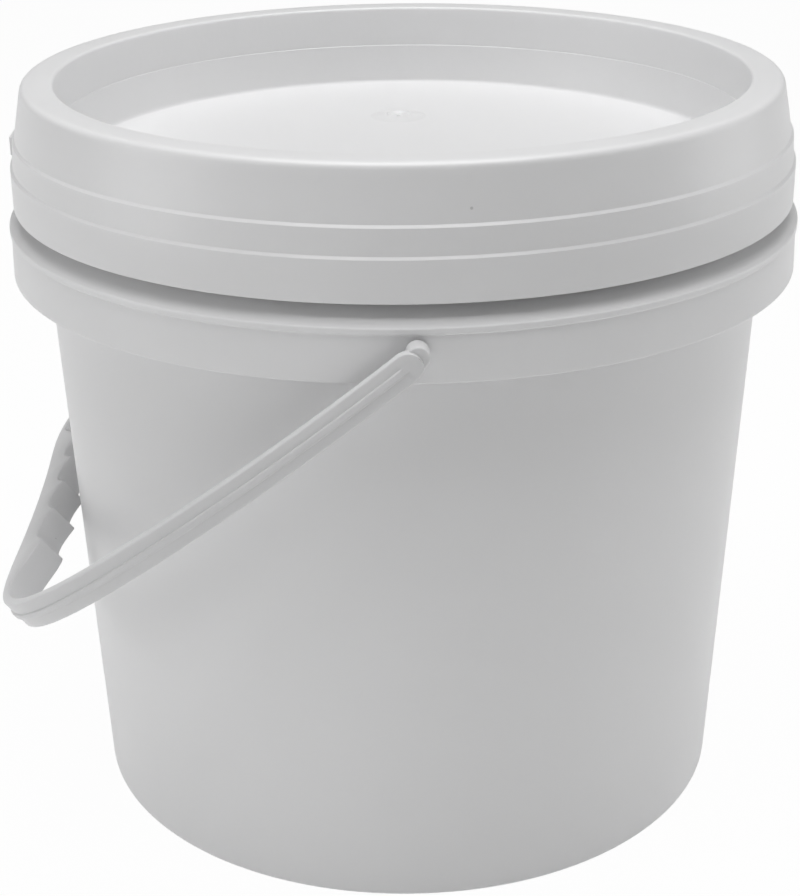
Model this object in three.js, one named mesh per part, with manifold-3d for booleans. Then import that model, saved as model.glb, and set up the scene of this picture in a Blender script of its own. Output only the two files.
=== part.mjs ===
// A ten-litre plastic pail with a lift-off lid and a moulded carrying handle, standing on its foot ring.
// Millimetres, +Z up. The origin is the centre of the foot ring on the floor, and the handle turns about Y.
import * as THREE from 'three';
import { NURBSCurve } from 'three/addons/curves/NURBSCurve.js';
import { mergeVertices } from 'three/addons/utils/BufferGeometryUtils.js';
import Module from 'manifold-3d';

const wasm = await Module();
wasm.setup();

// Steps round a revolved piece, round a bore and in a fillet
const TURN_STEPS = 60;
const BORE_STEPS = 20;
const FILLET_STEPS = 2;

// Bucket: a tapered tub on a foot ring
const BUCKET_HEIGHT = 248.8;
const BASE_RADIUS = 111.9;
const NECK_RADIUS = 121.8;
const BUCKET_WALL = 1.9;
const FLOOR_THICKNESS = 2.3;
const FOOT_HEIGHT = 3.5;
const FOOT_WIDTH = 4.6;
const BASE_FILLET = 2.4;
const INNER_BASE_FILLET = 5;
const SPRUE_RADIUS = 1.6;
const SPRUE_HEIGHT = 0.8;

// Ledge round the neck, with the band that hangs from its lip
const LEDGE_DROP = 43.4;
const LEDGE_REACH = 10.2;
const LEDGE_THICKNESS = 2;
const LEDGE_RISE = 4;
const LEDGE_COVE = 3;
const BAND_HEIGHT = 16.8;
const BAND_WALL = 1.8;
const BAND_FLARE = 0.4;
const LIP_PROUD = 0.6;
const LIP_HEIGHT = 1.7;

// Gussets that stiffen the band from inside
const GUSSET_COUNT = 20;
const GUSSET_THICKNESS = 1.4;
const GUSSET_BAND_GAP = 5;
const GUSSET_WALL_GAP = 1.5;
const GUSSET_SINK = 0.7;

// Bead round the mouth, which the lid snaps over
const MOUTH_FLARE = 0.4;
const BEAD_PROUD = 1.2;
const BEAD_HEIGHT = 5;

// Lid: a dished panel, a flat rim and a stepped skirt
const SEAT_GAP = 0.3;
const LID_WALL = 1.7;
const SKIRT_DROP = 39.1;
const SKIRT_BEAD_GAP = 0.4;
const SKIRT_FLARE = 2.6;
const UPPER_STEP_DROP = 17.5;
const LOWER_STEP_DROP = 26.2;
const STEP_OUT = 1.3;
const STEP_FILLET = 0.6;
const RIM_FILLET = 2.8;
const RIM_WIDTH = 10.7;
const DISH_DEPTH = 28.6;
const DISH_STEP_DROP = 14.5;
const DISH_STEP_IN = 0.5;
const DISH_TAPER = 0.06;
const DISH_FILLET = 1.6;
const SNAP_CLEARANCE = 0.4;
const SNAP_DROP = 9.9;
const SNAP_HEIGHT = 2.2;
const SEAL_GAP = 0.35;
const SEAL_THICKNESS = 1.4;
const SEAL_DEPTH = 11;

// Moulding gate in the middle of the lid
const GATE_RADIUS = 4.4;
const GATE_DEPTH = 0.45;
const GATE_NUB_RADIUS = 0.8;
const GATE_RING_RADIUS = 10;
const GATE_RING_HEIGHT = 0.25;

// Thumb tab on the skirt of the lid
const TAB_WIDTH = 20;
const TAB_PROUD = 1.1;
const TAB_GAP = 1.2;

// Handle: pins in the band, flat arms and a scalloped grip
const PIVOT_BELOW_LEDGE = 6.6;
const PIN_RADIUS = 2.2;
const PIN_CLEARANCE = 0.35;
const HEAD_RADIUS = 3.3;
const HEAD_THICKNESS = 1.6;
const HUB_RADIUS = 3.4;
const HUB_LENGTH = 4.2;
const HUB_RECESS = 1;
const ARM_THICKNESS = 3.2;
const ARM_WIDTH = 8.8;
const ARM_OFFSET = 3.6;
const ARM_END_RADIUS = 4.2;
const EDGE_ROUND = 0.6;
const HANDLE_REACH = 169;
const ARM_RUN = 42.4;
const ARM_IN = 2;
const SHOULDER_RUN = 74;
const SHOULDER_IN = 21.2;
const CORNER_OUT = 7.5;
const CORNER_HALF = 88.7;
const CROWN_HALF = 36;
const RIB_WIDTH = 1.9;
const RIB_HEIGHT = 0.7;
const GRIP_WIDTH = 10.9;
const GRIP_THICKNESS = 13;
const SCALLOP_PITCH = 22.5;
const SCALLOP_DEPTH = 4.5;
const SCALLOPS_PER_SIDE = 2;
const GRIP_BLEND = 26;
const REST_GAP = 0.35;
const ARM_STEPS = 16;
const SCALLOP_STEPS = 8;
const BLEND_STEPS = 5;
const END_STEPS = 4;

// Heights and radii that follow from the sizes above
const ledgeTop = BUCKET_HEIGHT - LEDGE_DROP;
const ledgeUnder = ledgeTop - LEDGE_THICKNESS;
const bandBottom = ledgeTop - BAND_HEIGHT;
const bandRadius = NECK_RADIUS + LEDGE_REACH;
const lipRadius = bandRadius + LIP_PROUD;
const wallSlope = (NECK_RADIUS - BASE_RADIUS) / ledgeTop;
const mouthRadius = NECK_RADIUS + MOUTH_FLARE;
const beadRadius = mouthRadius + BEAD_PROUD;
const lidTop = BUCKET_HEIGHT + SEAT_GAP + LID_WALL;
const panelTop = lidTop - DISH_DEPTH;
const pivotHeight = ledgeTop - PIVOT_BELOW_LEDGE;

const plastic = { color: 0xe9e9ea, roughness: 0.42, metalness: 0 };

function wallRadius(z) {
  return BASE_RADIUS + wallSlope * z;
}

function bandOuterAt(z) {
  return bandRadius + BAND_FLARE * (ledgeTop - z) / BAND_HEIGHT;
}

// Replace each corner [r, z, fillet] of a profile by an arc of its fillet radius
function filleted(corners) {
  const points = [];
  corners.forEach(([r, z, fillet = 0], i) => {
    const here = new THREE.Vector2(r, z);
    if (fillet === 0) {
      points.push(here);
      return;
    }
    const before = new THREE.Vector2(...corners[i - 1].slice(0, 2)).sub(here);
    const after = new THREE.Vector2(...corners[i + 1].slice(0, 2)).sub(here);
    const half = Math.acos(before.dot(after) / (before.length() * after.length())) / 2;
    const cut = Math.min(fillet / Math.tan(half), 0.48 * before.length(), 0.48 * after.length());
    const start = here.clone().addScaledVector(before.normalize(), cut);
    const end = here.clone().addScaledVector(after.normalize(), cut);
    const bend = new THREE.QuadraticBezierCurve(start, here, end);
    points.push(...bend.getPoints(FILLET_STEPS));
  });
  return points;
}

// A geometry as a solid for cutting and joining
function toSolid(geometry) {
  const bare = geometry.clone();
  bare.deleteAttribute('uv');
  bare.deleteAttribute('normal');
  const merged = mergeVertices(bare, 1e-4);
  const index = Array.from(merged.index.array);
  const kept = [];
  for (let i = 0; i < index.length; i += 3) {
    const [a, b, c] = index.slice(i, i + 3);
    if (a !== b && b !== c && c !== a) {
      kept.push(a, b, c);
    }
  }
  const mesh = new wasm.Mesh({
    numProp: 3,
    vertProperties: Float32Array.from(merged.attributes.position.array),
    triVerts: Uint32Array.from(kept),
  });
  return new wasm.Manifold(mesh);
}

function toMesh(name, solid) {
  const { vertProperties, triVerts } = solid.getMesh();
  const geometry = new THREE.BufferGeometry();
  geometry.setAttribute('position', new THREE.BufferAttribute(vertProperties, 3));
  geometry.setIndex(new THREE.BufferAttribute(triVerts, 1));
  geometry.computeVertexNormals();
  const mesh = new THREE.Mesh(geometry, new THREE.MeshStandardMaterial(plastic));
  mesh.name = name;
  return mesh;
}

// Turn a profile of [r, z] corners about the Z axis
function revolved(corners) {
  const geometry = new THREE.LatheGeometry(filleted(corners), TURN_STEPS);
  return toSolid(geometry.rotateX(Math.PI / 2));
}

function bucketProfile() {
  const footInner = BASE_RADIUS - FOOT_WIDTH;
  const floorTop = FOOT_HEIGHT + FLOOR_THICKNESS;
  const bandInner = bandRadius - BAND_WALL;
  const lipUnder = ledgeTop - LIP_HEIGHT;
  const beadUnder = BUCKET_HEIGHT - BEAD_HEIGHT;
  const innerMouth = mouthRadius - BUCKET_WALL;
  return [
    [0, FOOT_HEIGHT - SPRUE_HEIGHT],
    [SPRUE_RADIUS, FOOT_HEIGHT - SPRUE_HEIGHT],
    [SPRUE_RADIUS, FOOT_HEIGHT],
    [footInner - FOOT_HEIGHT / 4, FOOT_HEIGHT],
    [footInner, 0],
    [BASE_RADIUS, 0, BASE_FILLET],
    [wallRadius(ledgeUnder + LEDGE_RISE), ledgeUnder + LEDGE_RISE],
    [bandInner, ledgeUnder, 0.8],
    [bandInner + BAND_FLARE, bandBottom],
    [bandRadius + BAND_FLARE, bandBottom, 0.7],
    [bandOuterAt(lipUnder), lipUnder - LIP_PROUD],
    [lipRadius, lipUnder],
    [lipRadius, ledgeTop, 0.7],
    [NECK_RADIUS, ledgeTop + LEDGE_RISE, LEDGE_COVE],
    [mouthRadius, beadUnder - BEAD_PROUD],
    [beadRadius, beadUnder],
    [beadRadius, BUCKET_HEIGHT, 1.3],
    [innerMouth, BUCKET_HEIGHT, 0.7],
    [wallRadius(ledgeUnder) - BUCKET_WALL, ledgeUnder],
    [wallRadius(floorTop) - BUCKET_WALL, floorTop, INNER_BASE_FILLET],
    [0, floorTop],
  ];
}

// One upright web between the tub and the band, standing in the plane through +X
function gusset() {
  const inner = wallRadius(bandBottom) - GUSSET_SINK;
  const outer = bandRadius - BAND_WALL + GUSSET_SINK;
  const top = ledgeUnder + GUSSET_SINK;
  const outline = new THREE.Shape([
    new THREE.Vector2(inner, bandBottom + GUSSET_WALL_GAP),
    new THREE.Vector2(outer, bandBottom + GUSSET_BAND_GAP),
    new THREE.Vector2(outer, top),
    new THREE.Vector2(inner, top + LEDGE_RISE),
  ]);
  const web = new THREE.ExtrudeGeometry(outline, { depth: GUSSET_THICKNESS, bevelEnabled: false });
  return web.translate(0, 0, -GUSSET_THICKNESS / 2).rotateX(Math.PI / 2);
}

function makeBucket() {
  let tub = revolved(bucketProfile());
  for (let i = 0; i < GUSSET_COUNT; i += 1) {
    const angle = (i + 0.5) * 2 * Math.PI / GUSSET_COUNT;
    tub = tub.add(toSolid(gusset().rotateZ(angle)));
  }
  const boreLength = 2 * (lipRadius + BAND_WALL);
  const boreRadius = PIN_RADIUS + PIN_CLEARANCE;
  const bore = new THREE.CylinderGeometry(boreRadius, boreRadius, boreLength, BORE_STEPS);
  const tubInside = new THREE.CylinderGeometry(NECK_RADIUS, NECK_RADIUS, BUCKET_HEIGHT, TURN_STEPS);
  const holes = toSolid(bore.translate(0, 0, pivotHeight));
  const keep = toSolid(tubInside.rotateX(Math.PI / 2).translate(0, 0, BUCKET_HEIGHT / 2));
  return toMesh('bucket', tub.subtract(holes.subtract(keep)));
}

function lidProfile() {
  const skirtInner = beadRadius + SKIRT_BEAD_GAP;
  const underRim = lidTop - LID_WALL;
  const rimOuter = skirtInner + LID_WALL;
  const upperStep = lidTop - UPPER_STEP_DROP;
  const lowerStep = lidTop - LOWER_STEP_DROP;
  const skirtBottom = lidTop - SKIRT_DROP;
  const aboveUpper = rimOuter + SKIRT_FLARE;
  const belowUpper = aboveUpper + STEP_OUT;
  const belowLower = belowUpper + STEP_OUT;
  const rimInner = rimOuter - RIM_WIDTH;
  const dishStep = lidTop - DISH_STEP_DROP;
  const upperDish = rimInner - DISH_TAPER * DISH_STEP_DROP;
  const lowerDish = upperDish - DISH_STEP_IN;
  const panelRadius = lowerDish - DISH_TAPER * (dishStep - panelTop);
  const snapRadius = beadRadius + SNAP_CLEARANCE;
  const snapMiddle = lidTop - SNAP_DROP;
  const flareAt = (z) => skirtInner + SKIRT_FLARE * (underRim - z) / (underRim - upperStep);
  const sealOuter = mouthRadius - BUCKET_WALL - SEAL_GAP;
  const sealInner = sealOuter - SEAL_THICKNESS;
  const sealBottom = underRim - SEAL_DEPTH;
  const panelUnder = panelTop - LID_WALL;
  return [
    [0, panelTop - GATE_DEPTH / 2],
    [GATE_NUB_RADIUS, panelTop - GATE_DEPTH / 2],
    [GATE_NUB_RADIUS, panelTop - GATE_DEPTH],
    [GATE_RADIUS - GATE_DEPTH, panelTop - GATE_DEPTH],
    [GATE_RADIUS, panelTop + GATE_RING_HEIGHT],
    [GATE_RING_RADIUS - GATE_RING_HEIGHT, panelTop + GATE_RING_HEIGHT],
    [GATE_RING_RADIUS, panelTop],
    [panelRadius, panelTop, DISH_FILLET],
    [lowerDish, dishStep - DISH_STEP_IN],
    [upperDish, dishStep],
    [rimInner, lidTop, 1.2],
    [rimOuter, lidTop, RIM_FILLET],
    [aboveUpper, upperStep + STEP_OUT, STEP_FILLET],
    [belowUpper, upperStep + STEP_FILLET, STEP_FILLET],
    [belowUpper, lowerStep + STEP_OUT, STEP_FILLET],
    [belowLower, lowerStep + STEP_FILLET, STEP_FILLET],
    [belowLower, skirtBottom, 0.6],
    [belowLower - LID_WALL, skirtBottom],
    [belowLower - LID_WALL, lowerStep - LID_WALL / 2],
    [belowUpper - LID_WALL, lowerStep],
    [belowUpper - LID_WALL, upperStep - LID_WALL / 2],
    [aboveUpper - LID_WALL, upperStep],
    [flareAt(snapMiddle - SNAP_HEIGHT), snapMiddle - SNAP_HEIGHT],
    [snapRadius, snapMiddle, 0.4],
    [flareAt(snapMiddle + SNAP_HEIGHT), snapMiddle + SNAP_HEIGHT],
    [skirtInner, underRim, 0.5],
    [sealOuter, underRim],
    [sealOuter, sealBottom],
    [sealInner, sealBottom],
    [sealInner, underRim],
    [rimInner + LID_WALL, underRim],
    [upperDish + LID_WALL, dishStep],
    [lowerDish + LID_WALL, dishStep - DISH_STEP_IN - LID_WALL / 2],
    [panelRadius + LID_WALL, panelUnder, DISH_FILLET + LID_WALL],
    [0, panelUnder],
  ];
}

function makeLid() {
  const bandRadiusHere = beadRadius + SKIRT_BEAD_GAP + LID_WALL + SKIRT_FLARE + STEP_OUT;
  const low = lidTop - LOWER_STEP_DROP + TAB_GAP;
  const high = lidTop - UPPER_STEP_DROP - TAB_GAP;
  const depth = LID_WALL / 2 + TAB_PROUD;
  const tab = new THREE.BoxGeometry(depth, TAB_WIDTH, high - low);
  tab.translate(-(bandRadiusHere + TAB_PROUD - depth / 2), 0, (low + high) / 2);
  // The profile runs down from the top face, so it is reversed to face outwards
  return toMesh('lid', revolved(lidProfile().reverse()).add(toSolid(tab)));
}

// Half of the handle's outer line in its own plane: x away from the pins, y across the bucket
function handleLine() {
  const side = bandRadius + BAND_FLARE + REST_GAP + HUB_LENGTH + ARM_THICKNESS;
  const half = [
    [ARM_OFFSET, side],
    [ARM_OFFSET + ARM_RUN, side - ARM_IN],
    [ARM_OFFSET + ARM_RUN + SHOULDER_RUN, side - SHOULDER_IN],
    [HANDLE_REACH + CORNER_OUT, CORNER_HALF],
    [HANDLE_REACH, CROWN_HALF],
  ];
  const points = half.map(([x, y]) => new THREE.Vector4(x, y, 0, 1));
  const mirrored = half.map(([x, y]) => new THREE.Vector4(x, -y, 0, 1)).reverse();
  const control = points.concat(mirrored);
  const degree = 3;
  const spans = control.length - degree;
  const knots = [];
  for (let i = 0; i < control.length + degree + 1; i += 1) {
    knots.push(THREE.MathUtils.clamp((i - degree) / spans, 0, 1));
  }
  return new NURBSCurve(degree, knots, control);
}

// Thickness of the handle at a distance from the middle of the grip
function thicknessAt(distance) {
  const gripHalf = SCALLOPS_PER_SIDE * SCALLOP_PITCH;
  if (distance < gripHalf) {
    const along = (distance % SCALLOP_PITCH) / SCALLOP_PITCH;
    return GRIP_THICKNESS - SCALLOP_DEPTH * 4 * along * (1 - along);
  }
  const fade = THREE.MathUtils.smoothstep(distance, gripHalf, gripHalf + GRIP_BLEND);
  return THREE.MathUtils.lerp(GRIP_THICKNESS, ARM_THICKNESS, fade);
}

// Distances from the middle of the grip at which the handle gets a cross-section, on one side
function stationDistances(halfLength) {
  const distances = [];
  const gripSteps = SCALLOPS_PER_SIDE * SCALLOP_STEPS;
  for (let i = 0; i <= gripSteps; i += 1) {
    distances.push(i * SCALLOP_PITCH / SCALLOP_STEPS);
  }
  const gripHalf = SCALLOPS_PER_SIDE * SCALLOP_PITCH;
  for (let i = 1; i <= BLEND_STEPS; i += 1) {
    distances.push(gripHalf + i * GRIP_BLEND / BLEND_STEPS);
  }
  const armStart = gripHalf + GRIP_BLEND;
  for (let i = 1; i <= ARM_STEPS; i += 1) {
    distances.push(armStart + i * (halfLength - armStart) / ARM_STEPS);
  }
  return distances;
}

// Cross-section as [out, across] corners: a rounded strap with a raised rib along its outer face
function strapSection(halfWidth, thickness, rib) {
  const r = EDGE_ROUND;
  const ribHalf = Math.min(RIB_WIDTH / 2, halfWidth - 2 * r);
  const foot = ribHalf + RIB_HEIGHT / 2;
  return [
    [-r, -halfWidth], [0, r - halfWidth], [0, -foot], [rib, -ribHalf],
    [rib, ribHalf], [0, foot], [0, halfWidth - r], [-r, halfWidth],
    [r - thickness, halfWidth], [-thickness, halfWidth - r],
    [-thickness, r - halfWidth], [r - thickness, -halfWidth],
  ];
}

// Skin a row of closed rings of points and cap both ends
function lofted(rings) {
  const count = rings[0].length;
  const index = [];
  for (let i = 0; i < rings.length - 1; i += 1) {
    for (let j = 0; j < count; j += 1) {
      const a = i * count + j;
      const b = i * count + (j + 1) % count;
      index.push(a, b, a + count, b, b + count, a + count);
    }
  }
  const last = (rings.length - 1) * count;
  for (let j = 1; j < count - 1; j += 1) {
    index.push(0, j + 1, j);
    index.push(last, last + j, last + j + 1);
  }
  const geometry = new THREE.BufferGeometry().setFromPoints(rings.flat());
  geometry.setIndex(index);
  return geometry;
}

// The strap of the handle, from one rounded end to the other
function strap() {
  const line = handleLine();
  line.arcLengthDivisions = 600;
  const length = line.getLength();
  const side = stationDistances(length / 2);
  const stations = side.slice(1).reverse().map((d) => -d).concat(side);
  const ribEnd = SCALLOPS_PER_SIDE * SCALLOP_PITCH + GRIP_BLEND;
  const rings = stations.map((distance) => {
    const at = THREE.MathUtils.clamp(0.5 + distance / length, 0, 1);
    const point = line.getPointAt(at);
    const tangent = line.getTangentAt(at);
    const out = new THREE.Vector3(tangent.y, -tangent.x, 0).multiplyScalar(-1);
    const away = Math.abs(distance);
    const share = THREE.MathUtils.smoothstep(length / 2 - away, 0, length / 2 - ribEnd);
    const halfWidth = THREE.MathUtils.lerp(ARM_WIDTH, GRIP_WIDTH, share) / 2;
    const rib = away > ribEnd + 1 && away < length / 2 - 0.5 ? RIB_HEIGHT : 0;
    return ring(point, out, halfWidth, thicknessAt(away), rib);
  });
  return lofted([...endRings(line, 0), ...rings, ...endRings(line, 1).reverse()]);
}

function ring(point, out, halfWidth, thickness, rib) {
  return strapSection(halfWidth, thickness, rib).map(([n, w]) => (
    new THREE.Vector3(point.x + n * out.x, point.y + n * out.y, w)
  ));
}

// Rings that narrow to the half-round end of an arm
function endRings(line, at) {
  const point = line.getPointAt(at);
  const tangent = line.getTangentAt(at).multiplyScalar(at === 0 ? -1 : 1);
  const flow = at === 0 ? tangent.clone().negate() : tangent;
  const out = new THREE.Vector3(-flow.y, flow.x, 0);
  const rings = [];
  for (let i = 1; i <= END_STEPS; i += 1) {
    const angle = (i / END_STEPS) * 0.44 * Math.PI;
    const reach = ARM_END_RADIUS * Math.sin(angle);
    const halfWidth = ARM_END_RADIUS * Math.cos(angle) + EDGE_ROUND * Math.sin(angle);
    const centre = point.clone().addScaledVector(tangent, reach);
    rings.unshift(ring(centre, out, halfWidth, ARM_THICKNESS, 0));
  }
  return rings;
}

// Pin, retaining head and hub of one arm, turned about Y, on the +Y side
function pin() {
  const bandOuter = bandOuterAt(pivotHeight);
  const bandInner = bandOuter - BAND_WALL;
  const hubStart = bandRadius + BAND_FLARE + REST_GAP;
  const hubEnd = hubStart + HUB_LENGTH + ARM_THICKNESS - HUB_RECESS;
  const headEnd = bandInner - PIN_CLEARANCE;
  const profile = [
    [0, headEnd - HEAD_THICKNESS],
    [HEAD_RADIUS - 0.6, headEnd - HEAD_THICKNESS],
    [HEAD_RADIUS, headEnd - 0.5],
    [HEAD_RADIUS, headEnd],
    [PIN_RADIUS, headEnd],
    [PIN_RADIUS, hubStart],
    [HUB_RADIUS, hubStart],
    [HUB_RADIUS, hubEnd - 0.5],
    [HUB_RADIUS - 0.5, hubEnd],
    [0, hubEnd],
  ];
  const points = profile.map(([r, y]) => new THREE.Vector2(r, y));
  return new THREE.LatheGeometry(points, BORE_STEPS);
}

// Angle below the horizontal at which the lower edge of the grip meets the tub
function restAngle() {
  const reach = HANDLE_REACH - GRIP_THICKNESS;
  const half = GRIP_WIDTH / 2;
  const a = reach + wallSlope * half;
  const b = wallSlope * reach - half;
  const c = wallRadius(pivotHeight) + REST_GAP;
  return Math.atan2(b, a) + Math.acos(c / Math.hypot(a, b));
}

function makeHandle() {
  const nearPin = toSolid(pin());
  const farPin = toSolid(pin().rotateZ(Math.PI));
  const handle = toMesh('handle', toSolid(strap()).add(nearPin).add(farPin));
  handle.position.z = pivotHeight;
  handle.rotation.y = Math.PI - restAngle();
  return handle;
}

const pail = new THREE.Group();
pail.add(makeBucket(), makeLid(), makeHandle());

export default pail;
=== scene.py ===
import math

import bmesh
import bpy
from mathutils import Matrix, Vector


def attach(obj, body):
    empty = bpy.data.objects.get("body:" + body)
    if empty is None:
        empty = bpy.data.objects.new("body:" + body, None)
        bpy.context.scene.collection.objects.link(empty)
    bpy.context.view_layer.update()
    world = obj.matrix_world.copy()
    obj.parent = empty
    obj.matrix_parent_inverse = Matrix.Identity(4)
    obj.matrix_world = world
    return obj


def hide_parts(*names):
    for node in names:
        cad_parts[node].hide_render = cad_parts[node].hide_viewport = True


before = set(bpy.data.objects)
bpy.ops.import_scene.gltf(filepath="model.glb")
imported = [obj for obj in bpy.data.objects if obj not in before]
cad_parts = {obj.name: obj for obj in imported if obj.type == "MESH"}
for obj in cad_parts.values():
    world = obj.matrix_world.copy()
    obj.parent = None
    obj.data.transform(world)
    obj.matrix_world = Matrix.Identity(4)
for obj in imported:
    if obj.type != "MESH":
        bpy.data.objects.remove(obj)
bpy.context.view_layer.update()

# A white plastic pail with its lid on and its handle hanging on the left, in the frame of the CAD.
MM = 0.001
TURN_STEPS = 240
FILLET_STEPS = 6
BORE_STEPS = 48
BORE_CUT_LENGTH = 20
TAB_ROUND = 0.4
TAB_ROUND_STEPS = 4

# Bucket, in millimetres, as in the part
BUCKET_HEIGHT = 248.8
BASE_RADIUS = 111.9
NECK_RADIUS = 121.8
BUCKET_WALL = 1.9
FLOOR_THICKNESS = 2.3
FOOT_HEIGHT = 3.5
FOOT_WIDTH = 4.6
BASE_FILLET = 2.4
INNER_BASE_FILLET = 5
SPRUE_RADIUS = 1.6
SPRUE_HEIGHT = 0.8
LEDGE_DROP = 43.4
LEDGE_REACH = 10.2
LEDGE_THICKNESS = 2
LEDGE_RISE = 4
COVE_FOOT_OUT = 8.6
COVE_FOOT_RISE = 0.5
COVE_TOP_RISE = 9
COVE_RADIUS = 6
BAND_HEIGHT = 16.8
BAND_WALL = 1.8
BAND_FLARE = 0.4
LIP_PROUD = 0.6
LIP_HEIGHT = 1.7
GUSSET_COUNT = 20
GUSSET_THICKNESS = 1.4
GUSSET_BAND_GAP = 5
GUSSET_WALL_GAP = 1.5
GUSSET_SINK = 0.7
MOUTH_FLARE = 0.4
BEAD_PROUD = 1.2
BEAD_HEIGHT = 5

# Lid, in millimetres
SEAT_GAP = 0.3
LID_WALL = 1.7
SKIRT_DROP = 39.1
SKIRT_BEAD_GAP = 0.4
SKIRT_FLARE = 2.6
UPPER_STEP_DROP = 17.5
LOWER_STEP_DROP = 26.2
STEP_OUT = 1.3
BAND_DRAFT = 0.5
STEP_FILLET = 0.35
RIM_FILLET = 2.8
RIM_WIDTH = 10.7
DISH_DEPTH = 28.6
DISH_STEP_DROP = 14.5
DISH_STEP_IN = 0.5
DISH_CREASE_IN = 0.1
DISH_CREASE_STEP = 0.2
DISH_TAPER = 0.06
DISH_FILLET = 1.6
SNAP_CLEARANCE = 0.4
SNAP_DROP = 9.9
SNAP_HEIGHT = 2.2
SEAL_GAP = 0.35
SEAL_THICKNESS = 1.4
SEAL_DEPTH = 11
GATE_RADIUS = 4.4
GATE_DEPTH = 0.8
GATE_NUB_RADIUS = 0.8
GATE_RING_RADIUS = 10
GATE_RING_HEIGHT = 0.9
GATE_LAND = 1
GATE_SINK = 0.5
GATE_BACK = 54
TAB_WIDTH = 20
TAB_PROUD = 1.1
TAB_GAP = 1.2

# Handle, in millimetres
PIVOT_BELOW_LEDGE = 6.6
PIN_RADIUS = 2.2
PIN_CLEARANCE = 0.35
HEAD_RADIUS = 3.3
HEAD_THICKNESS = 1.6
HUB_RADIUS = 3.4
HUB_LENGTH = 4.2
HUB_RECESS = 1
ARM_THICKNESS = 3.2
ARM_WIDTH = 8.8
ARM_OFFSET = 3.6
ARM_END_RADIUS = 4.2
EDGE_ROUND = 0.6
HANDLE_REACH = 169
ARM_RUN = 42.4
ARM_IN = 2
SHOULDER_RUN = 74
SHOULDER_IN = 21.2
CORNER_OUT = 7.5
CORNER_HALF = 88.7
CROWN_HALF = 36
RIB_WIDTH = 1.9
RIB_HEIGHT = 0.7
GRIP_WIDTH = 10.9
GRIP_THICKNESS = 13
SCALLOP_PITCH = 22.5
SCALLOP_DEPTH = 4.5
SCALLOPS_PER_SIDE = 2
GRIP_BLEND = 26
REST_GAP = 0.35
RIB_SLOPE = 0.3
RIB_SHOULDER = 0.85
RIB_FADE = 3
LINE_STEPS = 900
HANDLE_STEPS = 420
END_STEPS = 10
END_TURN = 0.46
END_LEAST = 1.05
EDGE_STEPS = 4
PIN_STEPS = 64

ledge_top = BUCKET_HEIGHT - LEDGE_DROP
ledge_under = ledge_top - LEDGE_THICKNESS
band_bottom = ledge_top - BAND_HEIGHT
band_radius = NECK_RADIUS + LEDGE_REACH
lip_radius = band_radius + LIP_PROUD
wall_slope = (NECK_RADIUS - BASE_RADIUS) / ledge_top
mouth_radius = NECK_RADIUS + MOUTH_FLARE
bead_radius = mouth_radius + BEAD_PROUD
lid_top = BUCKET_HEIGHT + SEAT_GAP + LID_WALL
panel_top = lid_top - DISH_DEPTH
pivot_height = ledge_top - PIVOT_BELOW_LEDGE

# Camera, in metres and degrees: where it stands and how it is aimed
CAMERA_PLACE = (-0.017, -0.6319, 0.3809)
CAMERA_PITCH = 22.94
CAMERA_YAW = 1.36
CAMERA_ROLL = -0.617
CAMERA_LENS = 76.34

# Colours, as red, green and blue from 0 to 1
TUB_COLOUR = (0.82, 0.82, 0.825)
LID_COLOUR = (0.82, 0.82, 0.825)
HANDLE_COLOUR = (0.71, 0.71, 0.715)
FLOOR_COLOUR = (0.9, 0.9, 0.9)

# Plastic: gloss, milkiness, cloudiness, moulding grain and specks
PLASTIC_IOR = 1.49
TUB_ROUGHNESS = 0.36
LID_ROUGHNESS = 0.34
HANDLE_ROUGHNESS = 0.36
MILKINESS = 0.15
MILKY_DEPTH = 0.004
NOISE_LOW = 0.3
NOISE_HIGH = 0.7
CLOUD_SCALE = 9
CLOUD_DETAIL = 3
CLOUD_DIM = 0.985
GLOSS_SCALE = 24
GLOSS_DETAIL = 4
GLOSS_DROP = 0.03
GLOSS_RISE = 0.04
GRAIN_SCALE = 420
GRAIN_DETAIL = 2
GRAIN_STRENGTH = 0.06
GRAIN_DEPTH = 0.0004
SPECK_SCALE = 260
SPECK_CHANCE = 0.0012
SPECK_SIZE = 0.12
SPECK_DIM = 0.72
TUB_SEED = 3.1
LID_SEED = 7.7
HANDLE_SEED = 12.4

# Floor and lamps, in metres and watts
FLOOR_SIZE = 12
FLOOR_ROUGHNESS = 0.9
FLOOR_GLOW = 0.97
SKY_STRENGTH = 0.17
LID_MIDDLE = (0, 0, 0.2)
TUB_MIDDLE = (0, 0, 0.12)
FOOT_FRONT = (0, -0.1, 0)
OVERHEAD_PLACE = (0, -0.12, 1.3)
OVERHEAD_SIZE = 0.9
OVERHEAD_POWER = 11.8
LEFT_PLACE = (-1.15, -0.35, 0.3)
LEFT_POWER = 2.9
RIGHT_PLACE = (1.2, 0.15, 0.35)
RIGHT_POWER = 2.7
SIDE_SIZE = 0.7
LOW_PLACE = (0, -0.5, 0.05)
LOW_WIDTH = 0.6
LOW_HEIGHT = 0.06
LOW_POWER = 0.14


def wall_radius(z):
    return BASE_RADIUS + wall_slope * z


def band_outer_at(z):
    return band_radius + BAND_FLARE * (ledge_top - z) / BAND_HEIGHT


def smooth(share):
    share = min(max(share, 0.0), 1.0)
    return share * share * (3 - 2 * share)


def add_object(name, vertices, faces, sharp_angle=32):
    """A smooth-shaded mesh object from millimetre points."""
    mesh = bpy.data.meshes.new(name)
    mesh.from_pydata([tuple(MM * c for c in v) for v in vertices], [], faces)
    bm = bmesh.new()
    bm.from_mesh(mesh)
    bmesh.ops.remove_doubles(bm, verts=bm.verts, dist=1e-6)
    bmesh.ops.recalc_face_normals(bm, faces=bm.faces)
    bm.to_mesh(mesh)
    bm.free()
    mesh.shade_smooth()
    mesh.set_sharp_from_angle(angle=math.radians(sharp_angle))
    obj = bpy.data.objects.new(name, mesh)
    bpy.context.scene.collection.objects.link(obj)
    return obj


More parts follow.
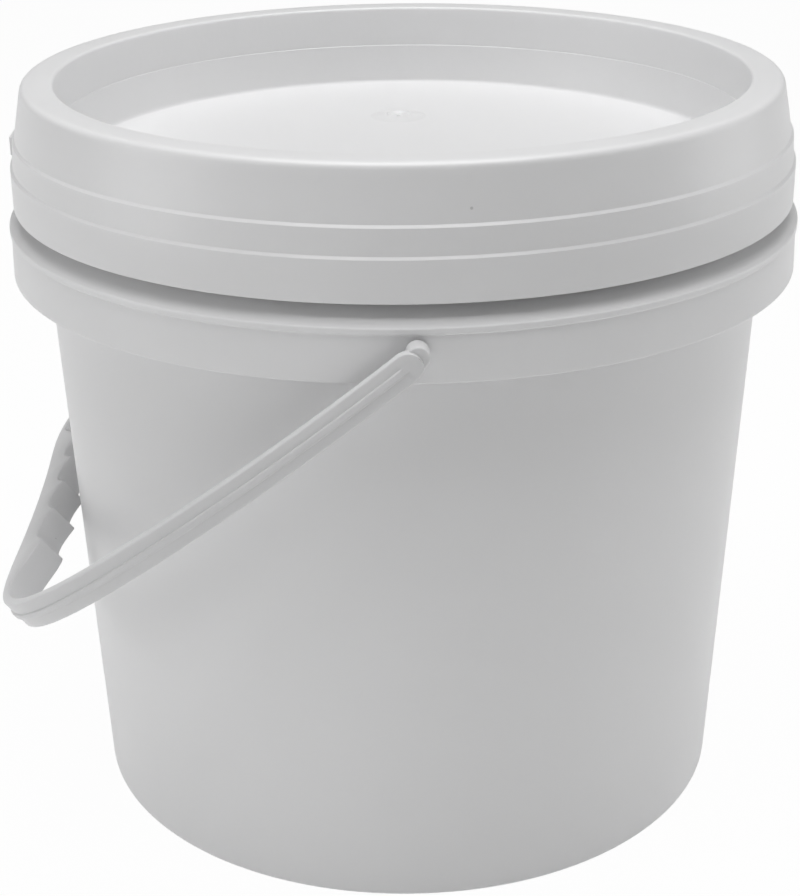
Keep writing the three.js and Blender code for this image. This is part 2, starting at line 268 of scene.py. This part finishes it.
def filleted(corners):
    """Replace each corner (r, z, fillet) of a profile by an arc of its fillet radius."""
    points = []
    for i, corner in enumerate(corners):
        here = Vector(corner[:2])
        fillet = corner[2] if len(corner) > 2 else 0
        if fillet == 0:
            points.append(here)
            continue
        before = Vector(corners[i - 1][:2]) - here
        after = Vector(corners[i + 1][:2]) - here
        half = before.angle(after) / 2
        cut = min(fillet / math.tan(half), 0.48 * before.length, 0.48 * after.length)
        start = here + before.normalized() * cut
        end = here + after.normalized() * cut
        for step in range(FILLET_STEPS + 1):
            t = step / FILLET_STEPS
            points.append((1 - t) ** 2 * start + 2 * t * (1 - t) * here + t * t * end)
    return points


def revolved(name, corners):
    """Turn a profile of (r, z) corners about the Z axis."""
    points = filleted(corners)
    vertices = []
    for i in range(TURN_STEPS):
        angle = 2 * math.pi * i / TURN_STEPS
        vertices += [(p.x * math.cos(angle), p.x * math.sin(angle), p.y) for p in points]
    count = len(points)
    faces = []
    for i in range(TURN_STEPS):
        here = i * count
        there = ((i + 1) % TURN_STEPS) * count
        faces += [(here + j, here + j + 1, there + j + 1, there + j) for j in range(count - 1)]
    return add_object(name, vertices, faces)


def bucket_profile():
    foot_inner = BASE_RADIUS - FOOT_WIDTH
    floor_top = FOOT_HEIGHT + FLOOR_THICKNESS
    band_inner = band_radius - BAND_WALL
    lip_under = ledge_top - LIP_HEIGHT
    bead_under = BUCKET_HEIGHT - BEAD_HEIGHT
    return [
        (0, FOOT_HEIGHT - SPRUE_HEIGHT),
        (SPRUE_RADIUS, FOOT_HEIGHT - SPRUE_HEIGHT),
        (SPRUE_RADIUS, FOOT_HEIGHT),
        (foot_inner - FOOT_HEIGHT / 4, FOOT_HEIGHT),
        (foot_inner, 0, 0.4),
        (BASE_RADIUS, 0, BASE_FILLET),
        (wall_radius(ledge_under + LEDGE_RISE), ledge_under + LEDGE_RISE, 1),
        (band_inner, ledge_under, 0.8),
        (band_inner + BAND_FLARE, band_bottom),
        (band_radius + BAND_FLARE, band_bottom, 0.7),
        (band_outer_at(lip_under), lip_under - LIP_PROUD),
        (lip_radius, lip_under, 0.3),
        (lip_radius, ledge_top, 0.7),
        (NECK_RADIUS + COVE_FOOT_OUT, ledge_top + COVE_FOOT_RISE, COVE_RADIUS),
        (NECK_RADIUS, ledge_top + COVE_TOP_RISE, COVE_RADIUS),
        (mouth_radius, bead_under - BEAD_PROUD),
        (bead_radius, bead_under, 0.5),
        (bead_radius, BUCKET_HEIGHT, 1.3),
        (mouth_radius - BUCKET_WALL, BUCKET_HEIGHT, 0.7),
        (wall_radius(ledge_under) - BUCKET_WALL, ledge_under),
        (wall_radius(floor_top) - BUCKET_WALL, floor_top, INNER_BASE_FILLET),
        (0, floor_top),
    ]


def lid_profile():
    skirt_inner = bead_radius + SKIRT_BEAD_GAP
    under_rim = lid_top - LID_WALL
    rim_outer = skirt_inner + LID_WALL
    upper_step = lid_top - UPPER_STEP_DROP
    lower_step = lid_top - LOWER_STEP_DROP
    skirt_bottom = lid_top - SKIRT_DROP
    above_upper = rim_outer + SKIRT_FLARE
    below_upper = above_upper + STEP_OUT
    below_lower = below_upper + STEP_OUT
    rim_inner = rim_outer - RIM_WIDTH
    dish_step = lid_top - DISH_STEP_DROP
    upper_dish = rim_inner - DISH_TAPER * DISH_STEP_DROP
    lower_dish = upper_dish - DISH_STEP_IN
    panel_radius = lower_dish - DISH_TAPER * (dish_step - panel_top)
    snap_radius = bead_radius + SNAP_CLEARANCE
    snap_middle = lid_top - SNAP_DROP
    seal_outer = mouth_radius - BUCKET_WALL - SEAL_GAP
    seal_inner = seal_outer - SEAL_THICKNESS
    seal_bottom = under_rim - SEAL_DEPTH
    panel_under = panel_top - LID_WALL
    shoulder = STEP_OUT - BAND_DRAFT

    def flare_at(z):
        return skirt_inner + SKIRT_FLARE * (under_rim - z) / (under_rim - upper_step)

    return [
        (0, panel_top),
        (panel_radius, panel_top, DISH_FILLET),
        (rim_inner - DISH_CREASE_IN - DISH_CREASE_STEP, dish_step - DISH_CREASE_STEP),
        (rim_inner - DISH_CREASE_IN, dish_step),
        (rim_inner, lid_top, 1.2),
        (rim_outer, lid_top, RIM_FILLET),
        (above_upper + BAND_DRAFT, upper_step + shoulder, STEP_FILLET),
        (below_upper, upper_step, STEP_FILLET),
        (below_upper + BAND_DRAFT, lower_step + shoulder, STEP_FILLET),
        (below_lower, lower_step, STEP_FILLET),
        (below_lower, skirt_bottom, 0.6),
        (below_lower - LID_WALL, skirt_bottom, 0.4),
        (below_lower - LID_WALL, lower_step - LID_WALL / 2),
        (below_upper - LID_WALL, lower_step),
        (below_upper - LID_WALL, upper_step - LID_WALL / 2),
        (above_upper - LID_WALL, upper_step),
        (flare_at(snap_middle - SNAP_HEIGHT), snap_middle - SNAP_HEIGHT),
        (snap_radius, snap_middle, 0.4),
        (flare_at(snap_middle + SNAP_HEIGHT), snap_middle + SNAP_HEIGHT),
        (skirt_inner, under_rim, 0.5),
        (seal_outer, under_rim),
        (seal_outer, seal_bottom, 0.3),
        (seal_inner, seal_bottom, 0.3),
        (seal_inner, under_rim),
        (rim_inner + LID_WALL, under_rim),
        (upper_dish + LID_WALL, dish_step),
        (lower_dish + LID_WALL, dish_step - DISH_STEP_IN - LID_WALL / 2),
        (panel_radius + LID_WALL, panel_under, DISH_FILLET + LID_WALL),
        (0, panel_under),
    ]


def gate_profile():
    """The moulding gate's mark: a low round pad with a dimple and a nub in it."""
    pad_top = panel_top + GATE_RING_HEIGHT
    dimple = pad_top - GATE_DEPTH
    return [
        (0, dimple + GATE_DEPTH / 2),
        (GATE_NUB_RADIUS, dimple + GATE_DEPTH / 2, 0.1),
        (GATE_NUB_RADIUS, dimple),
        (GATE_RADIUS - GATE_DEPTH, dimple, 0.3),
        (GATE_RADIUS, pad_top, 0.2),
        (GATE_RADIUS + GATE_LAND, pad_top, 0.3),
        (GATE_RING_RADIUS, panel_top),
        (GATE_RING_RADIUS, panel_top - GATE_SINK),
        (0, panel_top - GATE_SINK),
    ]


def box_object(name, low, high, bevel):
    """A box with rounded edges."""
    x0, y0, z0 = low
    x1, y1, z1 = high
    vertices = [(x, y, z) for x in (x0, x1) for y in (y0, y1) for z in (z0, z1)]
    faces = [(0, 1, 3, 2), (4, 6, 7, 5), (0, 4, 5, 1), (2, 3, 7, 6), (0, 2, 6, 4), (1, 5, 7, 3)]
    obj = add_object(name, vertices, faces)
    rounding = obj.modifiers.new("rounding", "BEVEL")
    rounding.width = bevel * MM
    rounding.segments = TAB_ROUND_STEPS
    return obj


def cut_bores(bucket):
    """Cut the two bores for the handle's pins through the band."""
    cutters = []
    for side in (-1, 1):
        bpy.ops.mesh.primitive_cylinder_add(
            vertices=BORE_STEPS,
            radius=(PIN_RADIUS + PIN_CLEARANCE) * MM,
            depth=BORE_CUT_LENGTH * MM,
            location=(0, side * band_radius * MM, pivot_height * MM),
            rotation=(math.pi / 2, 0, 0))
        cutters.append(bpy.context.object)
    for cutter in cutters:
        cut = bucket.modifiers.new("bore", "BOOLEAN")
        cut.object = cutter
        cut.operation = "DIFFERENCE"
        cut.solver = "EXACT"
    bpy.context.view_layer.update()
    evaluated = bucket.evaluated_get(bpy.context.evaluated_depsgraph_get())
    mesh = bpy.data.meshes.new_from_object(evaluated)
    bucket.modifiers.clear()
    bucket.data = mesh
    for cutter in cutters:
        bpy.data.objects.remove(cutter)


def gussets():
    """The webs between the tub and the band, as one mesh."""
    inner = wall_radius(band_bottom) - GUSSET_SINK
    outer = band_radius - BAND_WALL + GUSSET_SINK
    top = ledge_under + GUSSET_SINK
    outline = [
        (inner, band_bottom + GUSSET_WALL_GAP),
        (outer, band_bottom + GUSSET_BAND_GAP),
        (outer, top),
        (inner, top + LEDGE_RISE),
    ]
    vertices = []
    faces = []
    for i in range(GUSSET_COUNT):
        angle = (i + 0.5) * 2 * math.pi / GUSSET_COUNT
        turn = Matrix.Rotation(angle, 3, "Z")
        first = len(vertices)
        for side in (-GUSSET_THICKNESS / 2, GUSSET_THICKNESS / 2):
            vertices += [tuple(turn @ Vector((r, side, z))) for r, z in outline]
        faces.append(tuple(first + k for k in (3, 2, 1, 0)))
        faces.append(tuple(first + k for k in (4, 5, 6, 7)))
        for k in range(4):
            n = (k + 1) % 4
            faces.append((first + k, first + n, first + 4 + n, first + 4 + k))
    return add_object("gussets", vertices, faces)


def spline_point(control, t):
    """A point of the clamped cubic B-spline of these control points, by repeated interpolation."""
    degree = 3
    spans = len(control) - degree
    knots = [min(max((i - degree) / spans, 0.0), 1.0) for i in range(len(control) + degree + 1)]
    span = min(int(t * spans), spans - 1) + degree
    points = [control[span - degree + j] for j in range(degree + 1)]
    for level in range(1, degree + 1):
        for j in range(degree, level - 1, -1):
            low = knots[span - degree + j]
            high = knots[span + 1 + j - level]
            share = (t - low) / (high - low)
            points[j] = points[j - 1].lerp(points[j], share)
    return points[degree]


def handle_line():
    """The handle's outer line in its own plane, at even steps: x away from the pins, y across."""
    side = band_radius + BAND_FLARE + REST_GAP + HUB_LENGTH + ARM_THICKNESS
    half = [
        (ARM_OFFSET, side),
        (ARM_OFFSET + ARM_RUN, side - ARM_IN),
        (ARM_OFFSET + ARM_RUN + SHOULDER_RUN, side - SHOULDER_IN),
        (HANDLE_REACH + CORNER_OUT, CORNER_HALF),
        (HANDLE_REACH, CROWN_HALF),
    ]
    control = [Vector((x, y)) for x, y in half] + [Vector((x, -y)) for x, y in reversed(half)]
    raw = [spline_point(control, i / LINE_STEPS) for i in range(LINE_STEPS + 1)]
    lengths = [0.0]
    for a, b in zip(raw, raw[1:]):
        lengths.append(lengths[-1] + (b - a).length)
    return raw, lengths


def line_at(line, distance):
    """Point and direction of the line at a distance along it."""
    raw, lengths = line
    low = 0
    high = len(lengths) - 1
    while high - low > 1:
        middle = (low + high) // 2
        if lengths[middle] <= distance:
            low = middle
        else:
            high = middle
    share = (distance - lengths[low]) / (lengths[high] - lengths[low])
    before = raw[max(low - 1, 0)]
    after = raw[min(high + 1, len(raw) - 1)]
    return raw[low].lerp(raw[high], share), (after - before).normalized()


def thickness_at(distance):
    """Thickness of the handle at a distance from the middle of the grip."""
    grip_half = SCALLOPS_PER_SIDE * SCALLOP_PITCH
    if distance < grip_half:
        along = (distance % SCALLOP_PITCH) / SCALLOP_PITCH
        return GRIP_THICKNESS - SCALLOP_DEPTH * 4 * along * (1 - along)
    fade = smooth((distance - grip_half) / GRIP_BLEND)
    return GRIP_THICKNESS + (ARM_THICKNESS - GRIP_THICKNESS) * fade


def rounded_section(half_width, thickness, rib):
    """Cross-section as (out, across) points: a strap with round edges and a rib along its outer face."""
    radius = EDGE_ROUND
    rib_half = min(RIB_WIDTH / 2, half_width - 2 * radius)
    rib_foot = rib_half + RIB_SLOPE
    section = []
    side = half_width - radius
    inner = radius - thickness
    edges = ((-radius, side, 0), (inner, side, 90), (inner, -side, 180), (-radius, -side, 270))
    for out, across, start in edges:
        for k in range(EDGE_STEPS + 1):
            angle = math.radians(start + 90 * k / EDGE_STEPS)
            section.append((out + radius * math.cos(angle), across + radius * math.sin(angle)))
    rib_top = rib_half - RIB_SLOPE
    flank = ((-rib_foot, 0), (-rib_half, RIB_SHOULDER), (-rib_top, 1))
    for across, rise in flank + tuple((-across, rise) for across, rise in reversed(flank)):
        section.append((rise * rib, across))
    return section


def ring(point, direction, half_width, thickness, rib):
    """The section's points in the handle's own frame, at a point of its outer line."""
    out = Vector((-direction.y, direction.x))
    if out.dot(Vector((point.x - HANDLE_REACH / 2, point.y))) < 0:
        out = -out
    section = rounded_section(half_width, thickness, rib)
    return [(point.x + n * out.x, point.y + n * out.y, w) for n, w in section]


def end_ring(point, direction, reach, step):
    """One ring of an arm's half-round end, which narrows away from its point."""
    angle = END_TURN * math.pi * step / END_STEPS
    half_width = ARM_END_RADIUS * math.cos(angle) + 0.5 * EDGE_ROUND * math.sin(angle)
    place = point + direction * reach * math.sin(angle)
    return ring(place, direction, max(half_width, END_LEAST * EDGE_ROUND), ARM_THICKNESS, 0)


def strap_rings():
    """Rings along the strap, from one rounded end to the other."""
    line = handle_line()
    length = line[1][-1]
    grip_end = SCALLOPS_PER_SIDE * SCALLOP_PITCH + GRIP_BLEND
    start, start_direction = line_at(line, 0.0)
    end, end_direction = line_at(line, length)
    rings = []
    for i in range(END_STEPS, 0, -1):
        rings.append(end_ring(start, start_direction, -ARM_END_RADIUS, i))
    for i in range(HANDLE_STEPS + 1):
        distance = length * i / HANDLE_STEPS
        away = abs(distance - length / 2)
        point, direction = line_at(line, distance)
        share = smooth((length / 2 - away) / (length / 2 - grip_end))
        half_width = (ARM_WIDTH + (GRIP_WIDTH - ARM_WIDTH) * share) / 2
        rib = RIB_HEIGHT * smooth((away - grip_end) / RIB_FADE) * smooth((length / 2 - away) / RIB_FADE)
        rings.append(ring(point, direction, half_width, thickness_at(away), rib))
    for i in range(1, END_STEPS + 1):
        rings.append(end_ring(end, end_direction, ARM_END_RADIUS, i))
    return rings


def rest_angle():
    """Angle below the horizontal at which the lower edge of the grip meets the tub."""
    reach = HANDLE_REACH - GRIP_THICKNESS
    half = GRIP_WIDTH / 2
    a = reach + wall_slope * half
    b = wall_slope * reach - half
    c = wall_radius(pivot_height) + REST_GAP
    return math.atan2(b, a) + math.acos(c / math.hypot(a, b))


def place_handle(obj):
    """Turn a piece from the handle's own frame to where the handle rests."""
    turn = Matrix.Rotation(math.pi - rest_angle(), 4, "Y")
    obj.matrix_world = Matrix.Translation((0, 0, pivot_height * MM)) @ turn


def add_strap():
    rings = strap_rings()
    count = len(rings[0])
    vertices = [point for section in rings for point in section]
    faces = []
    for i in range(len(rings) - 1):
        for j in range(count):
            a = i * count + j
            b = i * count + (j + 1) % count
            faces.append((a, b, b + count, a + count))
    faces.append(tuple(range(count)))
    faces.append(tuple(reversed(range(len(vertices) - count, len(vertices)))))
    return add_object("handle_strap", vertices, faces, sharp_angle=40)


def add_pin(side):
    """Pin, retaining head and hub of one arm, turned about Y."""
    hub_start = band_radius + BAND_FLARE + REST_GAP
    hub_end = hub_start + HUB_LENGTH + ARM_THICKNESS - HUB_RECESS
    head_end = band_outer_at(pivot_height) - BAND_WALL - PIN_CLEARANCE
    corners = [
        (0, head_end - HEAD_THICKNESS),
        (HEAD_RADIUS, head_end - HEAD_THICKNESS, 0.5),
        (HEAD_RADIUS, head_end, 0.2),
        (PIN_RADIUS, head_end),
        (PIN_RADIUS, hub_start),
        (HUB_RADIUS, hub_start, 0.2),
        (HUB_RADIUS, hub_end, 0.6),
        (0, hub_end),
    ]
    points = filleted(corners)
    vertices = []
    for i in range(PIN_STEPS):
        angle = 2 * math.pi * i / PIN_STEPS
        vertices += [(p.x * math.cos(angle), side * p.y, p.x * math.sin(angle)) for p in points]
    count = len(points)
    faces = []
    for i in range(PIN_STEPS):
        here = i * count
        there = ((i + 1) % PIN_STEPS) * count
        faces += [(here + j, here + j + 1, there + j + 1, there + j) for j in range(count - 1)]
    return add_object("handle_pin_near" if side < 0 else "handle_pin_far", vertices, faces)


def moulded_plastic(name, colour, roughness, seed):
    """White moulded plastic: a faint cloudiness, uneven gloss, a fine moulding texture and rare specks."""
    material = bpy.data.materials.new(name)
    material.use_nodes = True
    nodes = material.node_tree.nodes
    links = material.node_tree.links
    shader = nodes["Principled BSDF"]
    place = nodes.new("ShaderNodeTexCoord")
    shift = nodes.new("ShaderNodeMapping")
    shift.inputs["Location"].default_value = (seed, -seed, 2 * seed)
    links.new(place.outputs["Object"], shift.inputs["Vector"])

    def noise(scale, detail):
        texture = nodes.new("ShaderNodeTexNoise")
        texture.inputs["Scale"].default_value = scale
        texture.inputs["Detail"].default_value = detail
        links.new(shift.outputs["Vector"], texture.inputs["Vector"])
        return texture.outputs["Fac"]

    def ramp(source, low_value, high_value):
        convert = nodes.new("ShaderNodeMapRange")
        convert.inputs["From Min"].default_value = NOISE_LOW
        convert.inputs["From Max"].default_value = NOISE_HIGH
        convert.inputs["To Min"].default_value = low_value
        convert.inputs["To Max"].default_value = high_value
        links.new(source, convert.inputs["Value"])
        return convert.outputs["Result"]

    cloud = nodes.new("ShaderNodeMix")
    cloud.data_type = "RGBA"
    links.new(ramp(noise(CLOUD_SCALE, CLOUD_DETAIL), 0, 1), cloud.inputs["Factor"])
    cloud.inputs["A"].default_value = (*[c * CLOUD_DIM for c in colour], 1)
    cloud.inputs["B"].default_value = (*colour, 1)

    specks = nodes.new("ShaderNodeTexVoronoi")
    specks.inputs["Scale"].default_value = SPECK_SCALE
    links.new(shift.outputs["Vector"], specks.inputs["Vector"])
    chance = nodes.new("ShaderNodeMath")
    chance.operation = "LESS_THAN"
    chance.inputs[1].default_value = SPECK_CHANCE
    split = nodes.new("ShaderNodeSeparateColor")
    links.new(specks.outputs["Color"], split.inputs["Color"])
    links.new(split.outputs["Red"], chance.inputs[0])
    dot = nodes.new("ShaderNodeMath")
    dot.operation = "LESS_THAN"
    dot.inputs[1].default_value = SPECK_SIZE
    links.new(specks.outputs["Distance"], dot.inputs[0])
    both = nodes.new("ShaderNodeMath")
    both.operation = "MULTIPLY"
    links.new(chance.outputs[0], both.inputs[0])
    links.new(dot.outputs[0], both.inputs[1])
    speckled = nodes.new("ShaderNodeMix")
    speckled.data_type = "RGBA"
    links.new(both.outputs[0], speckled.inputs["Factor"])
    links.new(cloud.outputs["Result"], speckled.inputs["A"])
    speckled.inputs["B"].default_value = (*[c * SPECK_DIM for c in colour], 1)
    links.new(speckled.outputs["Result"], shader.inputs["Base Color"])

    uneven = ramp(noise(GLOSS_SCALE, GLOSS_DETAIL), roughness - GLOSS_DROP, roughness + GLOSS_RISE)
    links.new(uneven, shader.inputs["Roughness"])
    bump = nodes.new("ShaderNodeBump")
    bump.inputs["Strength"].default_value = GRAIN_STRENGTH
    bump.inputs["Distance"].default_value = GRAIN_DEPTH
    links.new(noise(GRAIN_SCALE, GRAIN_DETAIL), bump.inputs["Height"])
    links.new(bump.outputs["Normal"], shader.inputs["Normal"])
    shader.inputs["IOR"].default_value = PLASTIC_IOR
    shader.inputs["Subsurface Weight"].default_value = MILKINESS
    shader.inputs["Subsurface Radius"].default_value = (MILKY_DEPTH, MILKY_DEPTH, MILKY_DEPTH)
    shader.inputs["Subsurface Scale"].default_value = 1.0
    return material


def dress(obj, material, body):
    obj.data.materials.clear()
    obj.data.materials.append(material)
    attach(obj, body)


def add_bucket():
    bucket = revolved("bucket_tub", bucket_profile())
    cut_bores(bucket)
    webs = gussets()
    plastic = moulded_plastic("tub_plastic", TUB_COLOUR, TUB_ROUGHNESS, TUB_SEED)
    for piece in (bucket, webs):
        dress(piece, plastic, "bucket")
    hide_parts("bucket")


def add_lid():
    lid = revolved("lid_cover", lid_profile())
    tab_radius = bead_radius + SKIRT_BEAD_GAP + LID_WALL + SKIRT_FLARE + STEP_OUT
    tab = box_object(
        "lid_tab",
        (-(tab_radius + TAB_PROUD), -TAB_WIDTH / 2, lid_top - LOWER_STEP_DROP + TAB_GAP),
        (-(tab_radius - LID_WALL / 2), TAB_WIDTH / 2, lid_top - UPPER_STEP_DROP - TAB_GAP),
        TAB_ROUND)
    plastic = moulded_plastic("lid_plastic", LID_COLOUR, LID_ROUGHNESS, LID_SEED)
    gate = revolved("lid_gate", gate_profile())
    gate.location.y = GATE_BACK * MM
    for piece in (lid, tab, gate):
        dress(piece, plastic, "lid")
    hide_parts("lid")


def add_handle():
    plastic = moulded_plastic("handle_plastic", HANDLE_COLOUR, HANDLE_ROUGHNESS, HANDLE_SEED)
    strap = add_strap()
    for piece in (strap, add_pin(-1), add_pin(1)):
        place_handle(piece)
        dress(piece, plastic, "handle")
    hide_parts("handle")


def add_floor():
    """A pale floor that the camera sees as plain white."""
    bpy.ops.mesh.primitive_plane_add(size=FLOOR_SIZE)
    floor = bpy.context.object
    floor.name = "floor"
    material = bpy.data.materials.new("floor_white")
    material.use_nodes = True
    nodes = material.node_tree.nodes
    links = material.node_tree.links
    shader = nodes["Principled BSDF"]
    shader.inputs["Base Color"].default_value = (*FLOOR_COLOUR, 1)
    shader.inputs["Roughness"].default_value = FLOOR_ROUGHNESS
    glow = nodes.new("ShaderNodeEmission")
    glow.inputs["Strength"].default_value = 1
    seen = nodes.new("ShaderNodeLightPath")
    either = nodes.new("ShaderNodeMath")
    either.operation = "MAXIMUM"
    links.new(seen.outputs["Is Camera Ray"], either.inputs[0])
    links.new(seen.outputs["Is Glossy Ray"], either.inputs[1])
    share = nodes.new("ShaderNodeMath")
    share.operation = "MULTIPLY"
    share.inputs[1].default_value = FLOOR_GLOW
    links.new(either.outputs["Value"], share.inputs[0])
    mix = nodes.new("ShaderNodeMixShader")
    links.new(share.outputs["Value"], mix.inputs["Fac"])
    links.new(shader.outputs["BSDF"], mix.inputs[1])
    links.new(glow.outputs["Emission"], mix.inputs[2])
    links.new(mix.outputs["Shader"], nodes["Material Output"].inputs["Surface"])
    floor.data.materials.append(material)


def add_lamp(name, place, aim, width, height, power):
    """A soft rectangular lamp at a place, facing a point."""
    data = bpy.data.lights.new(name, "AREA")
    data.shape = "RECTANGLE"
    data.size = width
    data.size_y = height
    data.energy = power
    lamp = bpy.data.objects.new(name, data)
    lamp.location = place
    lamp.rotation_euler = (Vector(aim) - Vector(place)).to_track_quat("-Z", "Y").to_euler()
    bpy.context.scene.collection.objects.link(lamp)


def light_scene():
    world = bpy.data.worlds.new("studio")
    bpy.context.scene.world = world
    world.use_nodes = True
    nodes = world.node_tree.nodes
    links = world.node_tree.links
    sky = nodes["Background"]
    sky.inputs["Color"].default_value = (1, 1, 1, 1)
    sky.inputs["Strength"].default_value = SKY_STRENGTH
    plain = nodes.new("ShaderNodeBackground")
    plain.inputs["Strength"].default_value = 1
    plain.inputs["Color"].default_value = (1, 1, 1, 1)
    seen = nodes.new("ShaderNodeLightPath")
    mix = nodes.new("ShaderNodeMixShader")
    links.new(seen.outputs["Is Camera Ray"], mix.inputs["Fac"])
    links.new(sky.outputs["Background"], mix.inputs[1])
    links.new(plain.outputs["Background"], mix.inputs[2])
    links.new(mix.outputs["Shader"], nodes["World Output"].inputs["Surface"])
    add_lamp("overhead", OVERHEAD_PLACE, LID_MIDDLE, OVERHEAD_SIZE, OVERHEAD_SIZE, OVERHEAD_POWER)
    add_lamp("left", LEFT_PLACE, TUB_MIDDLE, SIDE_SIZE, SIDE_SIZE, LEFT_POWER)
    add_lamp("right", RIGHT_PLACE, TUB_MIDDLE, SIDE_SIZE, SIDE_SIZE, RIGHT_POWER)
    add_lamp("low", LOW_PLACE, FOOT_FRONT, LOW_WIDTH, LOW_HEIGHT, LOW_POWER)


def add_camera():
    data = bpy.data.cameras.new("camera")
    data.lens = CAMERA_LENS
    camera = bpy.data.objects.new("camera", data)
    pitch = math.radians(CAMERA_PITCH)
    yaw = math.radians(CAMERA_YAW)
    roll = math.radians(CAMERA_ROLL)
    forward = Vector((math.sin(yaw) * math.cos(pitch), math.cos(yaw) * math.cos(pitch), -math.sin(pitch)))
    level = forward.cross(Vector((0, 0, 1))).normalized()
    upright = level.cross(forward)
    right = math.cos(roll) * level + math.sin(roll) * upright
    up = -math.sin(roll) * level + math.cos(roll) * upright
    turn = Matrix((right, up, -forward)).transposed()
    camera.matrix_world = Matrix.Translation(CAMERA_PLACE) @ turn.to_4x4()
    bpy.context.scene.collection.objects.link(camera)
    bpy.context.scene.camera = camera


bpy.context.scene.view_settings.view_transform = "Standard"
add_bucket()
add_lid()
add_handle()
add_floor()
light_scene()
add_camera()
